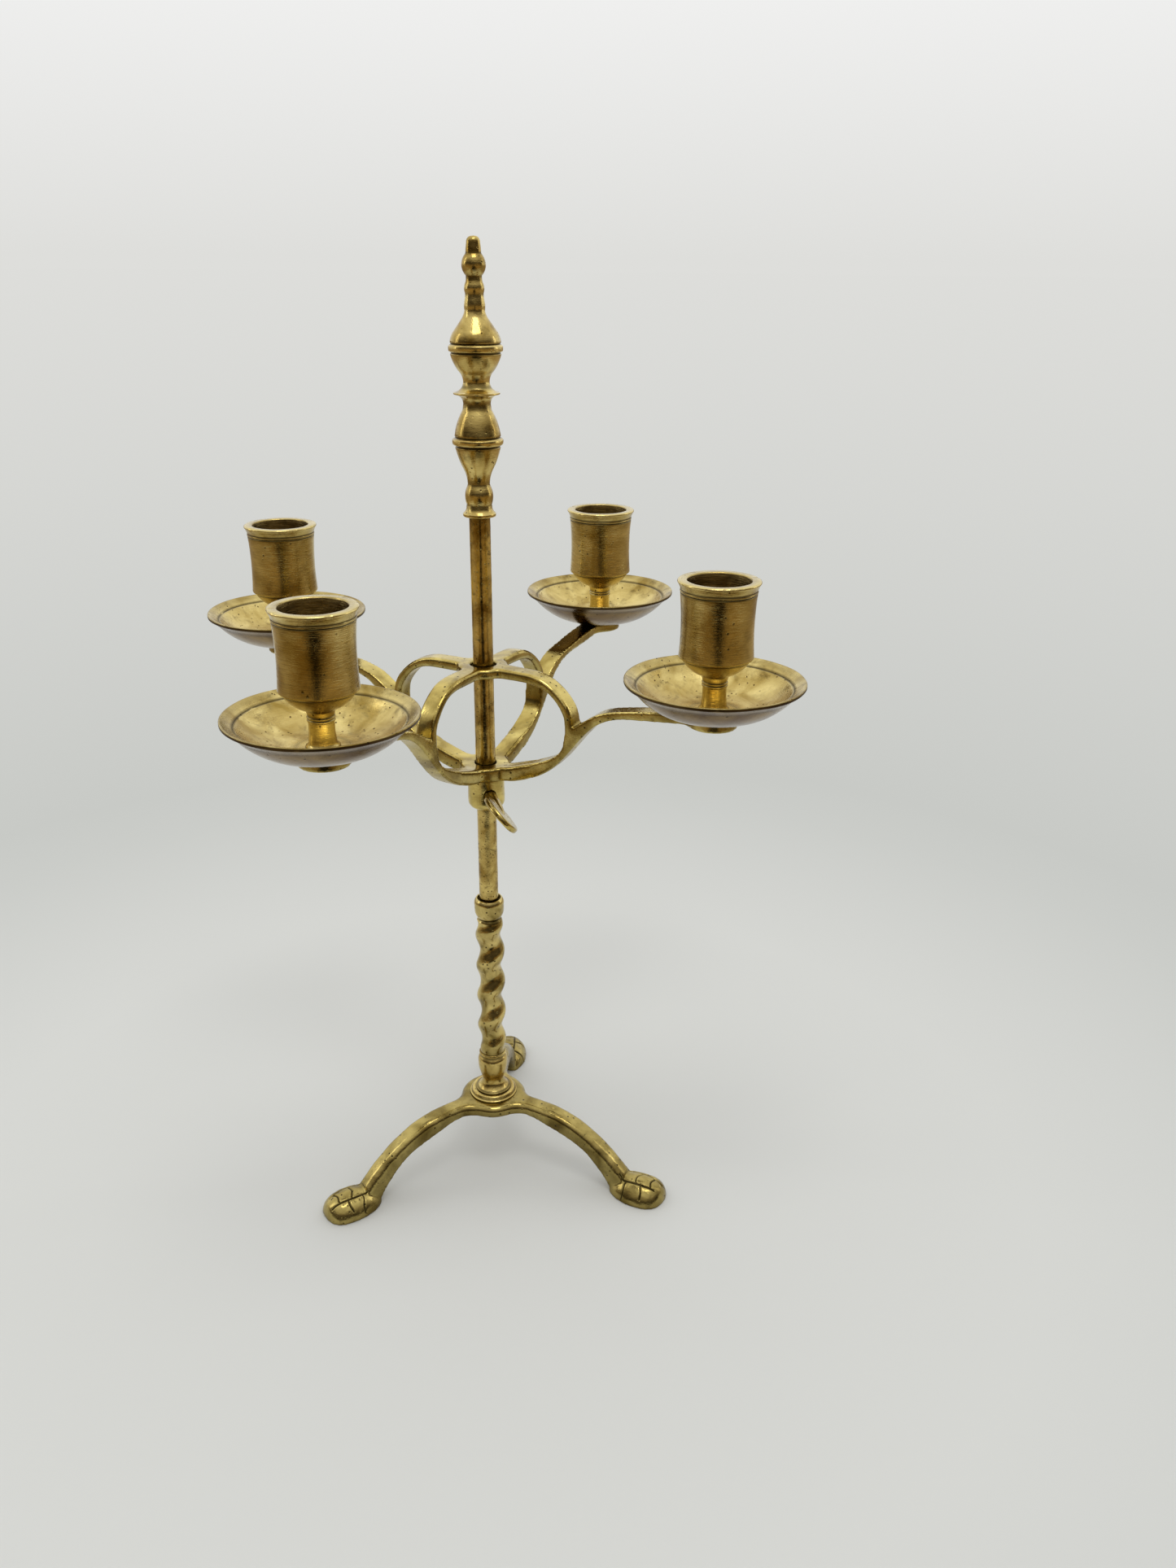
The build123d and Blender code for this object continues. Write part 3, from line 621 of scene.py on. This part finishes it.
def make_stem():
    """Wound stem drawn up ring by ring: stud, twist, then the knop at its top."""
    knop_low = STEM_TOP - TOP_KNOP_HEIGHT
    rings = [(STUD_R, STUD_END, 0, 0), (STUD_R, KNOP_TOP, 0, 0)]
    steps = round(24 * (knop_low - KNOP_TOP) / TWIST_PITCH)
    for step in range(steps + 1):
        z = KNOP_TOP + (knop_low - KNOP_TOP) * step / steps
        fade = min(1.0, (z - KNOP_TOP) / TWIST_FADE, (knop_low - z) / (TWIST_FADE / 2))
        throw = TWIST_THROW * sin(fade * pi / 2)
        turn = TWIST_PHASE + 2 * pi * (z - KNOP_TOP) / TWIST_PITCH
        rings.append((TWIST_R, z, throw * cos(turn), throw * sin(turn)))
    rings += [(point.x, knop_low + point.y, 0, 0) for point in profile(TOP_KNOP) if point.y > 0.1]
    bm = bmesh.new()
    ring = bmesh.ops.create_circle(bm, cap_ends=True, segments=64, radius=rings[0][0] * MM)["verts"]
    bmesh.ops.translate(bm, verts=ring, vec=(0, 0, rings[0][1] * MM))
    edges = list(bm.edges)
    before = rings[0]
    for now in rings[1:-1]:
        grown = bmesh.ops.extrude_edge_only(bm, edges=edges)["geom"]
        verts = [part for part in grown if isinstance(part, bmesh.types.BMVert)]
        edges = [part for part in grown if isinstance(part, bmesh.types.BMEdge)]
        middle = Matrix.Translation((-before[2] * MM, -before[3] * MM, -before[1] * MM))
        share = now[0] / before[0]
        bmesh.ops.scale(bm, verts=verts, vec=(share, share, 1), space=middle)
        shift = Vector((now[2] - before[2], now[3] - before[3], now[1] - before[1])) * MM
        bmesh.ops.translate(bm, verts=verts, vec=shift)
        before = now
    bmesh.ops.contextual_create(bm, geom=edges)
    bmesh.ops.recalc_face_normals(bm, faces=bm.faces)
    roughen(bm, 3.5, 0.12)
    finish_piece(
        "stem_wound", bm, "stand", [WOUND], ["twist_stem"], axis_of("twist_stem"),
        [(4.6, knop_low + 1.0 - STUD_END, 0.8, 1.0), (5.5, STEM_TOP - STUD_END, 0.8, -0.7)],
    )


# ----------------------------------------------------------------------------- castings

LEGS = [radians(azimuth) for azimuth in (84, 210, 330)]
PAW_REACH = 73.3  # widest place of a paw, from the stem's axis
PAW_BACK = 60.0  # where the ankle turns into the paw
PAW_SIDE = 12.0
SOLE_HEIGHT = 1.2  # nothing is cut below this
GROOVE = 0.55  # half the width of a cut line
GROOVE_DEPTH = 0.6
CAST_SKIN = 0.49  # fine enough for the straps, and inside the limit on triangles

# the bracket's hub is filed rounder than the rest, up to its bore
HUB_RISE = 12.0
HUB_BORE_SIDE = 6.5
HUB_REACH = 24.0
HUB_PASSES = 16


def paw_line(along, across):
    """How deep the cut lines of a paw are at a place on it, 0 to 1."""
    depth = 0.0
    for offset, bow, low, high in ((3.1, 0.7, -7.5, 9.0), (-3.2, -0.6, -9.0, 7.6)):
        middle = offset + bow * sin((along + 9) / 5)
        if low < along < high:
            depth = max(depth, 1 - abs(across - middle) / GROOVE)
    cuts = ((-5.2, 3.2, 9.0, 0.10), (2.6, 3.2, 8.2, -0.22), (-1.4, -3.0, 3.2, 0.16))
    cuts += ((5.2, -2.9, 3.0, -0.10), (-4.4, -9.0, -3.2, 0.24), (1.1, -8.4, -3.2, -0.12))
    for middle, low, high, slant in cuts:
        if low < across < high:
            bow = 0.5 * sin(across * 0.8 + middle)
            depth = max(depth, 1 - abs(along - middle - slant * across - bow) / GROOVE)
    return max(0.0, depth)


def make_base():
    bm = cast_copy(["tripod_base"], CAST_SKIN, 3)
    paws = [
        edge for edge in bm.edges
        if min(vert.co.xy.length for vert in edge.verts) > PAW_BACK * MM
        and max(vert.co.z for vert in edge.verts) > SOLE_HEIGHT * MM
    ]
    bmesh.ops.subdivide_edges(bm, edges=paws, cuts=1, use_grid_fill=True)
    roughen(bm, 7.0, 0.18)
    roughen(bm, 2.2, 0.05)
    # painted shade: the casting's sides and undersides are darkened, kept together with the grime in the paw
    # cuts
    side_shades = painted_side_shade(bm, 0.4)
    grime_and_painted_shade = []
    for vert, side_shade in zip(bm.verts, side_shades):
        mark = 0.0
        if vert.co.xy.length > PAW_BACK * MM and vert.normal.z > 0.05:
            for way in LEGS:
                along = (vert.co.x * cos(way) + vert.co.y * sin(way)) / MM - PAW_REACH
                across = (vert.co.y * cos(way) - vert.co.x * sin(way)) / MM
                if along > PAW_BACK - PAW_REACH and abs(across) < PAW_SIDE:
                    mark = paw_line(along, across)
        vert.co -= vert.normal * mark * GROOVE_DEPTH * MM
        grime_and_painted_shade.append(max(side_shade, mark))
    for vert in bm.verts:
        vert.co.z = max(vert.co.z, FLOOR_Z)
    lay_grime_and_shade(bm, grime_and_painted_shade)
    finish_piece("base_cast", bm, "stand", [FOOTED], ["tripod_base"])


def make_bracket():
    bm = cast_copy(["arm_spider", "upper_cross"], CAST_SKIN, 3)
    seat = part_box("arm_spider")[0].z
    hub = [
        vert for vert in bm.verts
        if vert.co.z < seat + HUB_RISE * MM
        and HUB_BORE_SIDE * MM < vert.co.xy.length < HUB_REACH * MM
    ]
    smooth(bm, hub, HUB_PASSES)
    bm.normal_update()
    roughen(bm, 9.0, 0.16)
    roughen(bm, 2.6, 0.03)
    # painted shade: the casting's sides and undersides are darkened
    lay_grime_and_shade(bm, painted_side_shade(bm, 0.3))
    finish_piece(
        "bracket_cast", bm, "bracket", [CAST], ["arm_spider", "upper_cross"]
    )


def make_collar():
    bm = cast_copy(["clamp_collar"], 0.3, 4)
    roughen(bm, 5.0, 0.1)
    finish_piece("collar_cast", bm, "collar", [CAST], ["clamp_collar"])


def make_thumb_screw():
    bm = cast_copy(["thumb_screw"], 0.22, 4)
    roughen(bm, 4.0, 0.08)
    finish_piece("thumb_screw_cast", bm, "thumb_screw", [CAST], ["thumb_screw"])


make_finial()
make_base_knop()
make_rod()
make_stem()
make_base()
make_bracket()
make_collar()
make_thumb_screw()
for cup in range(1, COUNT + 1):
    make_cup(cup)
    make_pan(cup)
hardware = ["base_washer", "base_nut"] + [f"cup_screw_{cup}" for cup in range(1, COUNT + 1)]
for node in hardware:
    nodes[node].data.materials.clear()
    nodes[node].data.materials.append(STEEL)


# -------------------------------------------------------------------- floor, light, camera


CAMERA_PLACE = (0, -0.484, 0.3806)
CAMERA_YAW = 4.93  # degrees to the right
CAMERA_PITCH = 22.38  # degrees down
CAMERA_ROLL = 0.49
LENS = 29.31
HORIZON = "#DEDEDB"
ZENITH = 1.15  # brightness straight overhead


def make_floor():
    """Pale paper, flat and matte, with painted light: mirror rays that meet it past its front edge or far to
    the sides see an emitted painted dark reflection, and seen directly past the object it glows with painted
    backdrop shade.
    """
    bm = bmesh.new()
    bmesh.ops.create_circle(bm, cap_ends=True, segments=96, radius=40.0)
    mesh = bpy.data.meshes.new("floor")
    bm.to_mesh(mesh)
    bm.free()
    floor = bpy.data.objects.new("floor", mesh)
    floor.location.z = FLOOR_Z
    bpy.context.scene.collection.objects.link(floor)
    material = bpy.data.materials.new("matte_paper_with_painted_reflection_and_backdrop")
    material.use_nodes = True
    tree = material.node_tree
    shader = tree.nodes["Principled BSDF"]
    shader.inputs["Base Color"].default_value = colour("#DEDFDB")
    shader.inputs["Roughness"].default_value = 0.7
    shader.inputs["Specular IOR Level"].default_value = 0.1
    here = add(tree, "ShaderNodeTexCoord").outputs["Object"]
    parts = add(tree, "ShaderNodeSeparateXYZ", {"Vector": here})
    # painted reflection: mirror rays that meet the floor past y = -0.3 m or beyond 0.42 m to the sides see
    # an emitted colour instead of the paper, near-black down the middle and brown at the sides
    front = add(tree, "ShaderNodeMapRange", {"Value": parts.outputs[1], 1: -0.3, 2: -0.42, 3: 0.0, 4: 1.0})
    wide = add(tree, "ShaderNodeMath", {0: parts.outputs[0]}, operation="ABSOLUTE")
    side = add(tree, "ShaderNodeMapRange", {"Value": wide.outputs[0], 1: 0.42, 2: 0.6, 3: 0.0, 4: 0.8})
    middle = add(tree, "ShaderNodeMapRange", {"Value": wide.outputs[0], 1: 0.2, 2: 0.27, 3: 0.0, 4: 1.0})
    painted_reflection_reach = add(tree, "ShaderNodeMath", {0: front.outputs[0], 1: side.outputs[0]}, operation="MAXIMUM")
    mirrored = add(tree, "ShaderNodeLightPath").outputs["Is Glossy Ray"]
    share = add(tree, "ShaderNodeMath", {0: painted_reflection_reach.outputs[0], 1: mirrored}, operation="MULTIPLY")
    painted_dark_reflection = add(tree, "ShaderNodeMix", {0: middle.outputs[0]}, data_type="RGBA")
    painted_dark_reflection.inputs[MIX_A].default_value = colour("#120E09")
    painted_dark_reflection.inputs[MIX_B].default_value = colour("#9A825A")
    glow = add(tree, "ShaderNodeEmission", {"Color": painted_dark_reflection.outputs[MIX_RESULT], "Strength": 1.0})
    inputs = {0: share.outputs[0], 1: shader.outputs[0], 2: glow.outputs[0]}
    both = add(tree, "ShaderNodeMixShader", inputs)
    # seen directly, past the object the floor glows instead of taking light: painted backdrop shade, darker
    # near and paling evenly with distance
    flat = add(tree, "ShaderNodeCombineXYZ", {0: parts.outputs[0], 1: parts.outputs[1]})
    away = add(tree, "ShaderNodeVectorMath", {0: flat.outputs[0]}, operation="LENGTH").outputs["Value"]
    reach = add(tree, "ShaderNodeMath", {0: away, 1: -CAMERA_PLACE[1]}, operation="ADD")
    near = add(tree, "ShaderNodeMath", {0: 1.0, 1: reach.outputs[0]}, operation="DIVIDE")
    near = add(tree, "ShaderNodeMapRange", {"Value": near.outputs[0], 1: 0.0, 2: 1.1, 3: 0.0, 4: 1.0})
    sweep = add(tree, "ShaderNodeMix", {0: near.outputs[0]}, data_type="RGBA")
    sweep.inputs[MIX_A].default_value = colour(HORIZON)
    sweep.inputs[MIX_B].default_value = colour("#C6C8C4")
    backdrop_seen_directly = add(tree, "ShaderNodeEmission", {"Color": sweep.outputs[MIX_RESULT], "Strength": 1.0})
    beyond = add(tree, "ShaderNodeMapRange", {"Value": away, 1: 0.24, 2: 0.5, 3: 0.0, 4: 1.0})
    seen = add(tree, "ShaderNodeLightPath").outputs["Is Camera Ray"]
    share = add(tree, "ShaderNodeMath", {0: beyond.outputs[0], 1: seen}, operation="MULTIPLY")
    inputs = {0: share.outputs[0], 1: both.outputs[0], 2: backdrop_seen_directly.outputs[0]}
    both = add(tree, "ShaderNodeMixShader", inputs)
    tree.links.new(both.outputs[0], tree.nodes["Material Output"].inputs["Surface"])
    mesh.materials.append(material)


def make_world():
    """Soft studio: pale behind and above, dim on the side where the camera stands."""
    world = bpy.data.worlds.new("studio")
    bpy.context.scene.world = world
    world.use_nodes = True
    tree = world.node_tree
    background = tree.nodes["Background"]
    way = add(tree, "ShaderNodeTexCoord").outputs["Generated"]
    parts = add(tree, "ShaderNodeSeparateXYZ", {"Vector": way})
    up = parts.outputs[2]
    back = add(tree, "ShaderNodeMapRange", {"Value": parts.outputs[1], 1: -0.3, 2: 0.5, 3: 0.1, 4: 1.0})
    lift = add(tree, "ShaderNodeMapRange", {"Value": up, 1: 0.2, 2: 0.95, 3: 0.0, 4: 1.0})
    glow = add(tree, "ShaderNodeMix", {0: lift.outputs[0], 2: back.outputs[0], 3: ZENITH}, data_type="FLOAT")
    studio = add(tree, "ShaderNodeMix", {0: glow.outputs[0]}, data_type="RGBA")
    studio.inputs[MIX_A].default_value = colour("#D2BFA6")
    studio.inputs[MIX_B].default_value = colour("#F4F5F6")
    seen = add(tree, "ShaderNodeMapRange", {"Value": up, 1: 0.0, 2: 0.157, 3: 0.0, 4: 1.0})
    backdrop_seen_directly = add(tree, "ShaderNodeMix", {0: seen.outputs[0]}, data_type="RGBA")
    backdrop_seen_directly.inputs[MIX_A].default_value = colour(HORIZON)
    backdrop_seen_directly.inputs[MIX_B].default_value = colour("#EFEFEE")
    path = add(tree, "ShaderNodeLightPath").outputs["Is Camera Ray"]
    inputs = {0: path, MIX_A: studio.outputs[MIX_RESULT], MIX_B: backdrop_seen_directly.outputs[MIX_RESULT]}
    both = add(tree, "ShaderNodeMix", inputs, data_type="RGBA")
    strength = add(tree, "ShaderNodeMix", {0: path, 2: glow.outputs[0], 3: 1.0}, data_type="FLOAT")
    tree.links.new(both.outputs[MIX_RESULT], background.inputs["Color"])
    tree.links.new(strength.outputs[0], background.inputs["Strength"])


def make_light(name, place, size, watts, aim=(0, 0, 0.2)):
    """Soft box that faces a point."""
    data = bpy.data.lights.new(name, "AREA")
    data.shape = "RECTANGLE"
    data.size, data.size_y = size
    data.energy = watts
    lamp = bpy.data.objects.new(name, data)
    bpy.context.scene.collection.objects.link(lamp)
    lamp.location = place
    lamp.rotation_euler = (Vector(aim) - Vector(place)).to_track_quat("-Z", "Y").to_euler()


def make_camera():
    data = bpy.data.cameras.new("camera")
    data.sensor_width = 36.0
    data.lens = LENS
    camera = bpy.data.objects.new("camera", data)
    bpy.context.scene.collection.objects.link(camera)
    turn = Matrix.Rotation(radians(-CAMERA_YAW), 4, "Z")
    turn = turn @ Matrix.Rotation(radians(90 - CAMERA_PITCH), 4, "X")
    turn = turn @ Matrix.Rotation(radians(CAMERA_ROLL), 4, "Z")
    camera.matrix_world = Matrix.Translation(CAMERA_PLACE) @ turn
    bpy.context.scene.camera = camera


make_floor()
make_world()
make_light("softbox_top", (0.05, -0.35, 1.3), (0.5, 0.34), 1.9)
make_light("softbox_left", (-1.1, 0.1, 0.75), (0.22, 0.8), 0.9)
make_light("softbox_right", (1.2, 0.2, 0.6), (0.16, 0.7), 0.5)
make_camera()
bpy.context.scene.view_settings.view_transform = "Standard"
